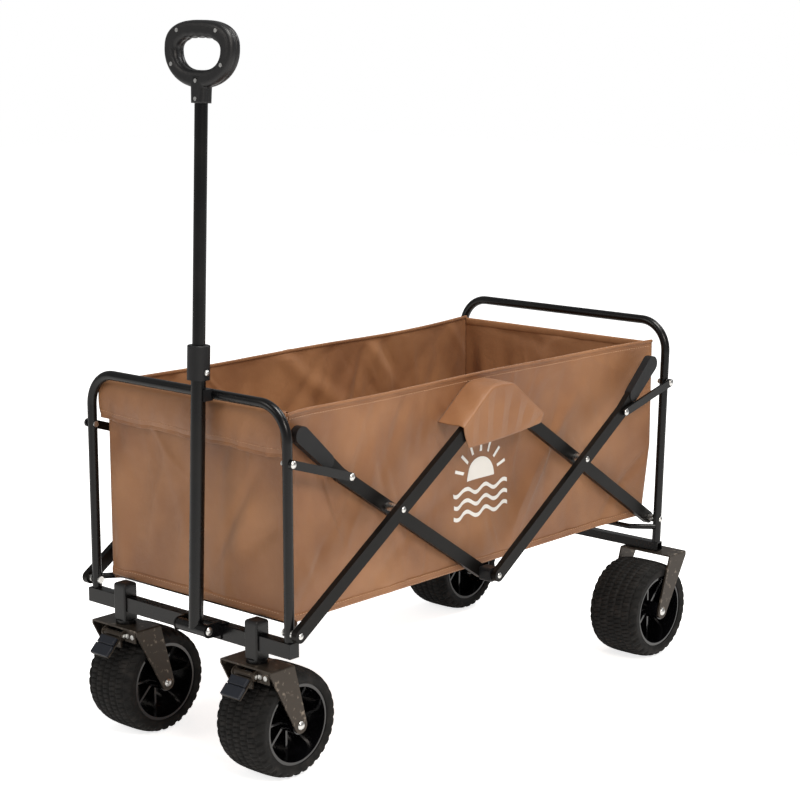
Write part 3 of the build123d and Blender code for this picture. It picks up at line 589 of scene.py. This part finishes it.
@dataclass
class SidePanel:
    """One long side of the basket, with its rim hem, bottom band, seams and printed emblem.

    Attributes:
        side: which side of the cart.
        seed: which set of creases.
        thickness: of the cloth.
        hem: depth of the rim's hem, down to its stitches.
        piping: thickness of the piping along the rim.
        band: depth of the band at the bottom.
    """

    side: Side
    seed: int
    thickness: float = 0.0012
    hem: float = 0.014
    piping: float = 0.0058
    band: float = 0.013

    def __post_init__(self) -> None:
        """Reads the panel's place from the frame."""
        name = f"basket_side_{self.side.name.lower()}"
        self.node = name
        low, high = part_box(name)
        self.front, self.rear = low[1], high[1]
        self.foot, self.rim = low[2] - 0.007, high[2]
        self.face = max(abs(low[0]), abs(high[0])) - 0.0012
        self.creases = Creases(self.seed, 90, 0.0052, 0.17)

    def rim_height(self, y: np.ndarray) -> np.ndarray:
        """Rim's height: it sags a little between the corners and the hood in the middle."""
        share = (y - self.front) / (self.rear - self.front)
        return self.rim - 0.002 * np.sin(math.tau * share) ** 2

    def place(self, y: np.ndarray, up: np.ndarray, lift: float = 0.0) -> np.ndarray:
        """Places on the panel.

        X is the flat face, pulled in at the middle, plus the creases, never past the bars.

        Args:
            y: places along the cart.
            up: share of the way from the foot to the rim.
            lift: how far off the cloth's outer face.

        Returns:
            Places, with a last axis of 3.
        """
        top = self.rim_height(y)
        z = self.foot + (top - self.foot) * up
        share = (y - self.front) / (self.rear - self.front)
        hollow = -0.006 * np.sin(math.pi * share) ** 2 * np.sin(math.pi * up)
        folds = self.creases.at(y - self.front, z - self.foot, self.rear - self.front, self.rim - self.foot)
        x = np.minimum(self.face + hollow + folds, self.face + 0.0026) + corner_flare(y, z) + lift
        return np.stack([self.side.value * x, y, z], axis=-1)

    def cloth(self) -> bpy.types.Object:
        """The panel itself, a grid of places 3 mm apart."""
        y = np.linspace(self.front, self.rear, 320)[:, None]
        up = np.linspace(0, 1, 116)[None, :]
        y, up = np.broadcast_arrays(y, up)
        uv = np.stack([y - self.front, up * (self.rim - self.foot)], axis=-1)
        left = self.side is Side.LEFT
        made = cloth_sheet(f"{self.node}_cloth", self.place(y, up), uv, self.thickness, flip=not left)
        made.data.materials.append(FINISHES["oxford_cloth"].material())
        return made

    def edge(self, name: str, up: float, depth: float, proud: float) -> bpy.types.Object:
        """Folded hem along an edge: a soft flat loop carried along it."""
        y = np.linspace(self.front, self.rear, 220)
        path = self.place(y, np.full_like(y, up))
        out = np.tile([self.side.value, 0.0, 0.0], (len(y), 1))
        high = np.tile([0.0, 0.0, 1.0], (len(y), 1))
        made = swept_ring(name, path, out, high, ring_profile(proud, depth / 2, power=3.2))
        made.data.materials.append(HEM_FINISH.material())
        return made

    def seam(self, name: str, up: float, lift: float) -> bpy.types.Object:
        """Row of stitches along the panel."""
        y = np.linspace(self.front + 0.004, self.rear - 0.004, 300)
        path = self.place(y, np.full_like(y, up), lift)
        out = np.tile([float(self.side.value), 0.0, 0.0], (len(y), 1))
        made = stitch_row(name, path, out)
        made.data.materials.append(THREAD_FINISH.material())
        return made

    def emblem(self) -> bpy.types.Object:
        """Printed half sun over three waves, drawn as strips that follow the cloth."""
        centre_y = (self.front + self.rear) / 2 + 0.008
        base = 0.408
        size = 1.25
        strips = []
        turn = np.linspace(0, math.pi, 40)[None]
        radius = np.linspace(0, 0.030, 8)[:, None]
        strips.append((radius * np.cos(turn), radius * np.sin(turn)))
        for angle in np.radians(np.arange(18, 180, 24)):
            reach = np.linspace(0.038, 0.056, 6)[:, None]
            half = np.linspace(-0.0022, 0.0022, 3)[None]
            cosine, sine = math.cos(angle), math.sin(angle)
            strips.append((reach * cosine - half * sine, reach * sine + half * cosine))
        for level in range(3):
            along = np.linspace(-0.058, 0.058, 60)[:, None]
            half = np.linspace(-0.0028, 0.0028, 3)[None]
            strips.append((along + 0 * half, -0.014 - 0.016 * level + 0.004 * np.sin(along * 155) + half))
        points, quads, start = [], [], 0
        for a, b in strips:
            a, b = np.broadcast_arrays(a, b)
            up = (base + size * b - self.foot) / (self.rim - self.foot)
            points.append(self.place(centre_y + self.side.value * size * a, up, 0.0012).reshape(-1, 3))
            quads.append(grid_quads(*a.shape) + start)
            start += a.size
        made = mesh_object(f"{self.node}_emblem", np.concatenate(points), np.concatenate(quads))
        made.data.materials.append(PRINT_FINISH.material())
        return made

    def build(self) -> list[bpy.types.Object]:
        """Builds the side, lets it ride the front frame and gives each piece its own mesh.

        Returns:
            Its pieces.
        """
        cloth = self.cloth()
        band_up = self.band / (self.rim - self.foot)
        hem_up = 1 - self.hem / (self.rim - self.foot)
        trim = [
            self.edge(f"{self.node}_rim_hem", 1 - self.piping / 2 / (self.rim - self.foot), self.piping, 0.0022),
            self.edge(f"{self.node}_bottom_band", band_up / 2, self.band, 0.0020),
            self.seam(f"{self.node}_rim_stitches", hem_up + 0.008, 0.0026),
            self.seam(f"{self.node}_band_stitches", band_up - 0.006, 0.0024),
            self.seam(f"{self.node}_band_stitches_low", 0.008, 0.0024),
        ]
        if self.side is Side.LEFT:
            trim.append(self.emblem())
        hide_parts(self.node)
        ride_all([cloth, *trim], "front_frame")
        crumple([cloth, *trim])
        return [cloth, *trim]


@dataclass
class EndPanel:
    """Front or rear end of the basket, with its hems and, at the front, the flap over its top edge.

    Attributes:
        end: which end.
        seed: which set of creases.
        flap: depth of the flap that is folded over the top.
    """

    end: End
    seed: int
    flap: float = 0.062

    def __post_init__(self) -> None:
        """Reads the panel's place from the frame."""
        self.node = f"basket_{self.end.name.lower()}_panel"
        low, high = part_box(self.node)
        self.half = high[0]
        self.y = low[1] + 0.0014 if self.end is End.FRONT else high[1] - 0.0014
        self.foot, self.rim = low[2], high[2]
        self.creases = Creases(self.seed, 40, 0.0046, 0.15)

    def place(self, x: np.ndarray, up: np.ndarray, lift: float = 0.0) -> np.ndarray:
        """Places on the panel: x is the share of the half width, from -1 to 1, and up the share of the height.

        The cloth leans in a little towards its middle, meets the sides where they flare, and carries the creases.
        """
        z = self.foot + (self.rim - self.foot) * up
        narrowed = x * (self.half + 0.0018 + corner_flare(np.full_like(z, self.y), z))
        bow = 0.004 * (1 - x**2) * np.sin(math.pi * up)
        folds = self.creases.at(self.half * (1 + x), z - self.foot, 2 * self.half, self.rim - self.foot)
        y = self.y - self.end.value * (bow - folds) + self.end.value * lift
        return np.stack(np.broadcast_arrays(narrowed, y, z), axis=-1)

    def sheet(self, name: str, low: float, high: float, lift: float, rows: int) -> bpy.types.Object:
        """Grid of the panel from one share of its height to another, lifted off its face."""
        x, up = np.broadcast_arrays(np.linspace(-1, 1, 150)[:, None], np.linspace(low, high, rows)[None])
        uv = np.stack([self.half * (1 + x), up * (self.rim - self.foot)], axis=-1)
        made = cloth_sheet(name, self.place(x, up, lift), uv, 0.0012, flip=self.end is End.REAR)
        made.data.materials.append(FINISHES["oxford_cloth"].material())
        return made

    def hem(self, name: str, up: float, depth: float, lift: float, proud: float = 0.0022) -> bpy.types.Object:
        """Folded hem across the panel."""
        x = np.linspace(-1, 1, 120)
        path = self.place(x, np.full_like(x, up), lift)
        out = np.tile([0.0, float(self.end.value), 0.0], (len(x), 1))
        high = np.tile([0.0, 0.0, 1.0], (len(x), 1))
        made = swept_ring(name, path, out, high, ring_profile(proud, depth / 2, power=3.2))
        made.data.materials.append(HEM_FINISH.material())
        return made

    def seam(self, name: str, up: float, lift: float) -> bpy.types.Object:
        """Row of stitches across the panel."""
        x = np.linspace(-0.98, 0.98, 120)
        path = self.place(x, np.full_like(x, up), lift)
        made = stitch_row(name, path, np.tile([0.0, float(self.end.value), 0.0], (len(x), 1)))
        made.data.materials.append(THREAD_FINISH.material())
        return made

    def folded_flap(self) -> tuple[bpy.types.Object, list[bpy.types.Object]]:
        """Builds the flap that is drawn over the rim and puffs out in front of the panel.

        Its outline from the hem up over the rim and down inside is a soft curve; it is carried across the basket,
        sinks 6 mm towards one end, and is gathered by shallow waves that die away at the rim.

        Returns:
            The flap, and its hem and stitches.
        """
        low = self.rim - self.flap
        outline = soft_curve(
            [
                (0.0080, low), (0.0135, low + 0.014), (0.0150, low + 0.034), (0.0120, low + 0.056),
                (0.0040, self.rim + 0.0035), (-0.0040, self.rim + 0.0010), (-0.0045, self.rim - 0.012),
            ],
            44,
        )
        share = np.linspace(-1, 1, 190)[:, None]
        x = -0.003 + 0.213 * share
        hang = np.clip((self.rim - outline[None, :, 1]) / self.flap, 0, 1)
        sag = 0.003 * (share + 1) * hang + 0.0015 * np.sin(9 * share + 1) * hang
        gather = 0.0010 * hang * (np.sin(23 * share + 0.8) + 0.7 * np.sin(41 * share + 4 * hang))
        ease = 0.003 * np.abs(share) ** 6
        out = outline[None, :, 0] + gather - ease
        x, y, z = np.broadcast_arrays(x, self.y - out, outline[None, :, 1] - sag)
        places = np.stack([x, y, z], axis=-1)
        uv = np.stack(np.broadcast_arrays(0.213 * share, np.linspace(0, self.flap * 1.4, 44)[None]), axis=-1)
        flap = cloth_sheet(f"{self.node}_flap", places, uv, 0.0012, flip=False)
        flap.data.materials.append(FINISHES["oxford_cloth"].material())
        forward = np.tile([0.0, -1.0, 0.0], (len(places), 1))
        high = np.tile([0.0, 0.0, 1.0], (len(places), 1))
        hem = swept_ring(f"{self.node}_flap_hem", places[:, 1], forward, high, ring_profile(0.0016, 0.004, power=3.2))
        hem.data.materials.append(HEM_FINISH.material())
        stitches = stitch_row(f"{self.node}_flap_stitches", places[:, 6] + 0.0009 * forward, forward)
        stitches.data.materials.append(THREAD_FINISH.material())
        return flap, [hem, stitches]

    def build(self) -> list[bpy.types.Object]:
        """Builds the end and lets it ride its frame.

        Returns:
            Its pieces.
        """
        height = self.rim - self.foot
        cloth = self.sheet(f"{self.node}_cloth", 0, 1, 0.0, 110)
        trim = [
            self.hem(f"{self.node}_rim_hem", 1 - 0.006 / height, 0.014, 0.001, 0.0030),
            self.hem(f"{self.node}_bottom_hem", 0.008 / height, 0.015, 0.0),
            self.seam(f"{self.node}_bottom_stitches", 0.012 / height, 0.0024),
        ]
        body = "rear_frame"
        if self.end is End.FRONT:
            body = "front_frame"
            flap, flap_trim = self.folded_flap()
            ride_all([flap, *flap_trim], body)
        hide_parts(self.node)
        ride_all([cloth, *trim], body)
        return [cloth, *trim]


@dataclass
class FloorPanel:
    """Floor of the basket, a padded board's cover lying on the rods.

    Attributes:
        seed: which set of creases.
    """

    seed: int = 41

    def build(self) -> list[bpy.types.Object]:
        """Builds the floor: a plane that sags 4 mm between its rods, with creases."""
        low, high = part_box("basket_floor")
        x = np.linspace(low[0], high[0], 120)[:, None]
        y = np.linspace(low[1], high[1], 260)[None]
        x, y = np.broadcast_arrays(x, y)
        a, b = x - low[0], y - low[1]
        width, length = high[0] - low[0], high[1] - low[1]
        folds = Creases(self.seed, 40, 0.0025, 0.15).at(b, a, length, width)
        z = high[2] - 0.0012 - 0.004 * np.sin(math.pi * a / width) * np.sin(math.pi * b / length) + folds
        places, uv = np.stack([x, y, z], axis=-1), np.stack([a, b], axis=-1)
        cloth = cloth_sheet("basket_floor_cloth", places, uv, 0.0016, flip=True)
        cloth.data.materials.append(FINISHES["oxford_cloth"].material())
        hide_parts("basket_floor")
        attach(cloth, "front_frame")
        crumple([cloth])
        return [cloth]


@dataclass
class PeakHood:
    """Cloth cap sewn to a side's rim and drawn over the scissor's peak.

    Attributes:
        side: which side.
    """

    side: Side

    def build(self) -> list[bpy.types.Object]:
        """Builds the hood.

        The first parameter runs along the arch from its front foot over the peak to its rear foot, and the second
        from the basket's side out over the bars and then down the outer face to the hem.

        Returns:
            Its pieces.
        """
        low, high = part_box("peak_hoods")
        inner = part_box("basket_side_left")[1][0] - 0.001
        outer = high[0] - 0.0015
        middle = (low[1] + high[1]) / 2
        half = (high[1] - low[1]) / 2
        s = np.linspace(-1, 1, 121)[:, None]
        t = np.linspace(0, 1, 61)[None]
        crown = high[2] - 0.004
        front_slope = [(-0.102, 0.524), (-0.066, 0.5525), (-0.036, 0.576)]
        rear_slope = [(0.042, 0.571), (0.074, 0.546), (0.112, 0.517)]
        arch = soft_curve([*front_slope, (-0.022, crown), (0.026, crown), *rear_slope], 121)
        arch_y, arch_z = arch[:, :1], arch[:, 1:]
        hem_y = 0.006 + 0.096 * s
        hem_z = 0.4975 + 0.0065 * s - 0.003 * np.cos(math.pi * s / 2)
        top_share = np.clip(t / 0.45, 0, 1)
        drop = np.clip((t - 0.45) / 0.55, 0, 1)
        roll = 0.5 - 0.5 * np.cos(math.pi * np.clip((t - 0.36) / 0.18, 0, 1))
        x = inner + (outer - inner) * (top_share ** 0.9)
        z = arch_z + (hem_z - arch_z) * drop - 0.005 * roll
        fan = np.abs(((2.6 * s + 0.35 * drop) % 1.0) - 0.5) * 2
        x = x + 0.0045 * np.sin(math.pi * drop) * (fan - 0.5) * (1 - 0.5 * s**2)
        z = z + 0.0012 * np.sin(15 * s + 6 * t) * np.sin(math.pi * top_share)
        y = middle + arch_y + (hem_y - arch_y) * drop
        x, y, z = np.broadcast_arrays(x, y, z)
        reach = (outer - inner) * np.clip(t / 0.45, 0, 1) + (high[2] - low[2]) * drop
        uv = np.stack(np.broadcast_arrays(1.25 * half * (1 + s), reach), axis=-1)
        places = np.stack([self.side.value * x, y, z], axis=-1)
        name = f"peak_hood_{self.side.name.lower()}"
        cloth = cloth_sheet(name, places, uv, 0.0012, flip=self.side is Side.RIGHT)
        cloth.data.materials.append(FINISHES["oxford_cloth"].material())
        if self.side is Side.LEFT:
            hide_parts("peak_hoods")
        along, down = places[1:, :-1] - places[:-1, :-1], places[:-1, 1:] - places[:-1, :-1]
        area = float(np.linalg.norm(np.cross(along, down), axis=-1).sum())
        width, length = 0.14, 0.30
        area = min(area, width * length)
        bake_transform(cloth)
        return [cloth]


# ---------------------------------------------------------------- wheels
@dataclass
class TreadedTyre:
    """Fat solid tyre with rings of tread blocks and slanted shoulder lugs.

    Attributes:
        node: the frame's tyre that this replaces.
        body: the body that it rides on.
        pitch: from one block to the next round the crown.
        groove: depth of the tread.
    """

    node: str
    body: str
    pitch: float = 0.0088
    groove: float = 0.0026

    def relief(self, turn: np.ndarray, across: np.ndarray, radius: float, half: float) -> np.ndarray:
        """How far the tread is cut below its crown.

        Five ribs run round the crown, cut by cross slits that step from rib to rib; the shoulders carry slanted lugs.
        """
        count = round(math.tau * radius / self.pitch)
        share = across / half
        rib = np.minimum(1, np.abs(((share * 3.3 + 0.5) % 1.0) - 0.5) / 0.46)
        ring_cut = 1 / (1 + np.exp(-(rib - 0.86) * 40))
        step = np.round(share * 3.3)
        phase = turn * count / math.tau + 0.5 * step + 1.2 * share
        slit = np.abs((phase % 1.0) - 0.5) * 2
        slit_cut = 1 / (1 + np.exp(-(slit - 0.78) * 26))
        crown = np.maximum(ring_cut, 0.85 * slit_cut)
        lug = np.abs(((turn * count / 2 / math.tau + 1.6 * np.abs(share)) % 1.0) - 0.5) * 2
        shoulder = 1 / (1 + np.exp(-(lug - 0.62) * 16))
        blend = 1 / (1 + np.exp(-(np.abs(share) - 0.80) * 60))
        side = 1 / (1 + np.exp((np.abs(share) - 0.985) * 90))
        return self.groove * (crown * (1 - blend) + 1.15 * shoulder * blend) * side

    def build(self) -> list[bpy.types.Object]:
        """Builds the tyre: a closed ring profile turned about the axle, its tread cut by the relief.

        Returns:
            Its pieces.
        """
        low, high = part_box(self.node)
        centre = (np.array(low) + np.array(high)) / 2
        radius = (high[2] - low[2]) / 2
        half = (high[0] - low[0]) / 2
        bore = 0.0662
        wave = np.linspace(-1, 1, 84)
        across = half * np.sin(wave * math.pi / 2)
        share = np.abs(across / half)
        crown = bore + 0.010 + (radius - bore - 0.010) * (1 - share**3.4) ** 0.42
        inner_across = np.linspace(half * 0.98, -half * 0.98, 12)
        profile_r = np.concatenate([crown, np.full(12, bore)])
        profile_x = np.concatenate([across, inner_across])
        turn = np.linspace(0, math.tau, 560, endpoint=False)
        cut = np.zeros((560, len(profile_r)))
        cut[:, : len(crown)] = self.relief(turn[:, None], across[None], radius, half)
        r = profile_r[None] - cut
        x = centre[0] + profile_x[None] + 0 * r
        y = centre[1] + r * np.cos(turn)[:, None]
        z = centre[2] + r * np.sin(turn)[:, None]
        points = np.stack([x, y, z], axis=-1)
        rows = np.concatenate([points, points[:1]])
        index = np.arange(rows.shape[0] * rows.shape[1]).reshape(rows.shape[:2]) % (points.shape[0] * points.shape[1])
        index = np.concatenate([index, index[:, :1]], axis=1)
        quads = np.stack([index[:-1, :-1], index[1:, :-1], index[1:, 1:], index[:-1, 1:]], axis=-1).reshape(-1, 4)
        made = mesh_object(f"{self.node}_tread", points.reshape(-1, 3), quads)
        close_ends(made)
        made.data.materials.append(FINISHES["tyre_foam"].material())
        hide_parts(self.node)
        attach(made, self.body)
        return [made]


# ---------------------------------------------------------------- handle
@dataclass
class LoopGrip:
    """Moulded loop at the handle's top: two half shells with a finger hole and a tapered neck.

    Attributes:
        pivot: the handle's hinge.
        lean: how far the handle leans back, in degrees.
        reach: from the hinge to the loop's centre.
        neck: from the loop's centre down to the neck's foot.
        depth: half the loop's thickness.
    """

    pivot: tuple[float, float, float] = (0.056, -0.51295, 0.236)
    lean: float = 2.25
    reach: float = 0.903
    neck: float = 0.0806
    depth: float = 0.0128

    def loop(self, turn: np.ndarray) -> tuple[np.ndarray, np.ndarray]:
        """Outer edge and finger hole, each a superellipse that is deeper below; the hole's top has four scallops."""
        cosine, sine = np.cos(turn), np.sin(turn)
        power = np.where(sine > 0, 2 / 2.6, 2 / 2.05)
        outer_x = 0.0752 * np.sign(cosine) * np.abs(cosine) ** power
        outer_z = np.where(sine > 0, 0.0438, 0.058) * np.sign(sine) * np.abs(sine) ** power
        hole_x = 0.049 * np.sign(cosine) * np.abs(cosine) ** (2 / 2.7)
        hole_z = np.where(sine > 0, 0.0185, 0.031) * np.sign(sine) * np.abs(sine) ** (2 / 2.3)
        fingers = 0.0018 * np.abs(np.sin(math.pi * hole_x / 0.017)) * (sine > 0) * (np.abs(hole_x) < 0.034)
        outer = np.stack([outer_x, outer_z], axis=-1)
        return outer, np.stack([hole_x, hole_z + fingers - 0.0018 * (sine > 0)], axis=-1)

    def shell(self, end: End) -> bpy.types.Object:
        """Builds one half: half a superellipse section carried round the loop, and another down the neck."""
        turn = np.linspace(0, math.tau, 260, endpoint=False)
        outer, hole = self.loop(turn)
        arc = np.linspace(0, math.pi, 22)
        side = np.sign(np.cos(arc)) * np.abs(np.cos(arc)) ** (2 / 3.2)
        rise = np.maximum(0.0002, self.depth * np.sin(arc) ** (2 / 3.2))
        middle, span = (outer + hole) / 2, (outer - hole) / 2
        flat = middle[:, None] + span[:, None] * side[None, :, None]
        across = [flat[..., 0], np.broadcast_to(rise[None], flat.shape[:2]), flat[..., 1]]
        ring = np.stack(across, axis=-1)
        drop = np.linspace(-0.040, -self.neck, 14)
        width = np.interp(-drop, [0.040, 0.056, self.neck], [0.030, 0.0155, 0.0145])
        stem = np.stack(np.broadcast_arrays(width[:, None] * side[None], rise[None], drop[:, None]), axis=-1)
        rows = ring.shape[0]
        index = np.arange(ring.shape[0] * 22).reshape(rows, 22)
        index = np.concatenate([index, index[:1]])
        index = np.concatenate([index, index[:, :1]], axis=1)
        corners = [index[:-1, :-1], index[1:, :-1], index[1:, 1:], index[:-1, 1:]]
        loop_quads = np.stack(corners, axis=-1).reshape(-1, 4)
        stem_quads = grid_quads(len(drop), 22, ring=True) + rows * 22
        local = np.concatenate([ring.reshape(-1, 3), stem.reshape(-1, 3)])
        tilt = math.radians(self.lean)
        along = np.array([0.0, math.sin(tilt), math.cos(tilt)])
        outwards = np.array([0.0, math.cos(tilt), -math.sin(tilt)]) * end.value
        centre = np.array(self.pivot) + self.reach * along
        places = centre + local[:, :1] * np.array([1.0, 0, 0]) + local[:, 1:2] * outwards + local[:, 2:] * along
        made = mesh_object(f"grip_{end.name.lower()}_half", places, np.concatenate([loop_quads, stem_quads]))
        close_ends(made)
        made.data.materials.append(FINISHES["grip_plastic"].material())
        return made

    def build(self) -> list[bpy.types.Object]:
        """Builds both halves.

        Returns:
            Its pieces.
        """
        halves = []
        for end in End:
            half = self.shell(end)
            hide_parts(f"grip_{end.name.lower()}_shell")
            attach(half, "handle_upper")
            halves.append(half)
        return halves


# ---------------------------------------------------------------- frame, stage and camera
def dress_frame(frame: dict) -> None:
    """Gives every piece of the frame the finish of its material slot.
    """
    made = {slot: finish.material() for slot, finish in FINISHES.items()}
    slots = {part["node"]: part["material_slot"] for part in frame["record"]["subparts"]}
    for name, node in frame["nodes"].items():
        finish = made[slots[name]]
        if not node.material_slots:
            log.warning("%s has no material slot", name)
        for slot in node.material_slots:
            slot.material = finish
    log.info("dressed %d frame pieces", len(frame["nodes"]))


@dataclass(frozen=True)
class Studio:
    """Pale floor, soft lights and the camera.

    Attributes:
        azimuth: the camera's turn about the cart, in degrees.
        elevation: its height over the horizon, in degrees.
        place: where it stands.
        lens: its focal length in millimetres.
    """

    azimuth: float = 41.718
    elevation: float = 10.995
    place: tuple[float, float, float] = (2.3416, -2.5910, 1.2003)
    lens: float = 90.918

    def floor(self) -> None:
        """Large pale plane under the wheels."""
        half = 12.0
        points = np.array([[-half, -half, 0], [half, -half, 0], [half, half, 0], [-half, half, 0]], float)
        floor = mesh_object("floor", points, np.array([[0, 1, 2, 3]]))
        floor.data.materials.append(WhiteSweep("white_sweep", "#FFFFFF", 1.0, specular=0.0).material())

    def softbox(self, name: str, place: tuple[float, float, float], power: float, size: float, tint: str) -> None:
        """Square area light that faces the cart."""
        lamp = bpy.data.lights.new(name, "AREA")
        lamp.energy = power
        lamp.size = size
        lamp.color = linear(tint)[:3]
        made = bpy.data.objects.new(name, lamp)
        made.location = place
        aim = np.array([0.0, 0.0, 0.45]) - np.array(place)
        flat = math.hypot(aim[0], aim[1])
        made.rotation_euler = (math.pi / 2 + math.atan2(aim[2], flat), 0, math.atan2(-aim[0], aim[1]))
        bpy.context.scene.collection.objects.link(made)

    def lights(self) -> None:
        """A large lamp overhead, a weak key from the front left, a fill and a rim light, in a white room.

        The camera sees the room white, and the cart is lit by a dimmer one.
        """
        self.softbox("overhead", (1.2, -0.2, 4.4), 150, 1.7, "#FFFDF8")
        self.softbox("key", (3.4, -1.6, 2.8), 66, 1.0, "#FFF6EC")
        self.softbox("front", (-1.6, -3.6, 2.6), 28, 1.4, "#FFF8F0")
        self.softbox("back", (0.5, 3.8, 3.4), 50, 1.6, "#FFFFFF")
        world = bpy.data.worlds.new("white_room")
        world.use_nodes = True
        tree = world.node_tree
        seen = add_node(tree, "ShaderNodeLightPath").outputs["Is Camera Ray"]
        strength = add_node(tree, "ShaderNodeMapRange", {0: seen, 3: 0.27, 4: 1.0}).outputs[0]
        tree.nodes["Background"].inputs[0].default_value = linear("#FFFFFF")
        tree.links.new(strength, tree.nodes["Background"].inputs[1])
        bpy.context.scene.world = world

    def camera(self) -> None:
        """Camera on the cart's front left corner, looking back at it."""
        view = bpy.data.cameras.new("camera")
        view.lens = self.lens
        view.sensor_width = 36.0
        made = bpy.data.objects.new("camera", view)
        made.location = self.place
        made.rotation_euler = (math.radians(90 - self.elevation), 0, math.radians(self.azimuth))
        bpy.context.scene.collection.objects.link(made)
        bpy.context.scene.camera = made

    def build(self) -> None:
        """Sets the whole stage."""
        self.floor()
        self.lights()
        self.camera()
        bpy.context.scene.view_settings.view_transform = "Standard"


def main() -> None:
    """Loads the frame, builds each part over it and sets the stage."""
    logging.basicConfig(level=logging.INFO, format="%(name)s %(message)s")
    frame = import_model()
    dress_frame(frame)
    parts = [SidePanel(Side.LEFT, 11), SidePanel(Side.RIGHT, 23), EndPanel(End.FRONT, 5), EndPanel(End.REAR, 8)]
    parts += [FloorPanel(), PeakHood(Side.LEFT), PeakHood(Side.RIGHT), LoopGrip()]
    for side in Side:
        for end in End:
            name = f"{end.name.lower()}_tyre_{side.name.lower()}"
            parts.append(TreadedTyre(name, name.replace("tyre", "wheel")))
    for part in parts:
        for piece in part.build():
            log.info("%s built", piece.name)
    Studio().build()


if __name__ == "__main__":
    main()
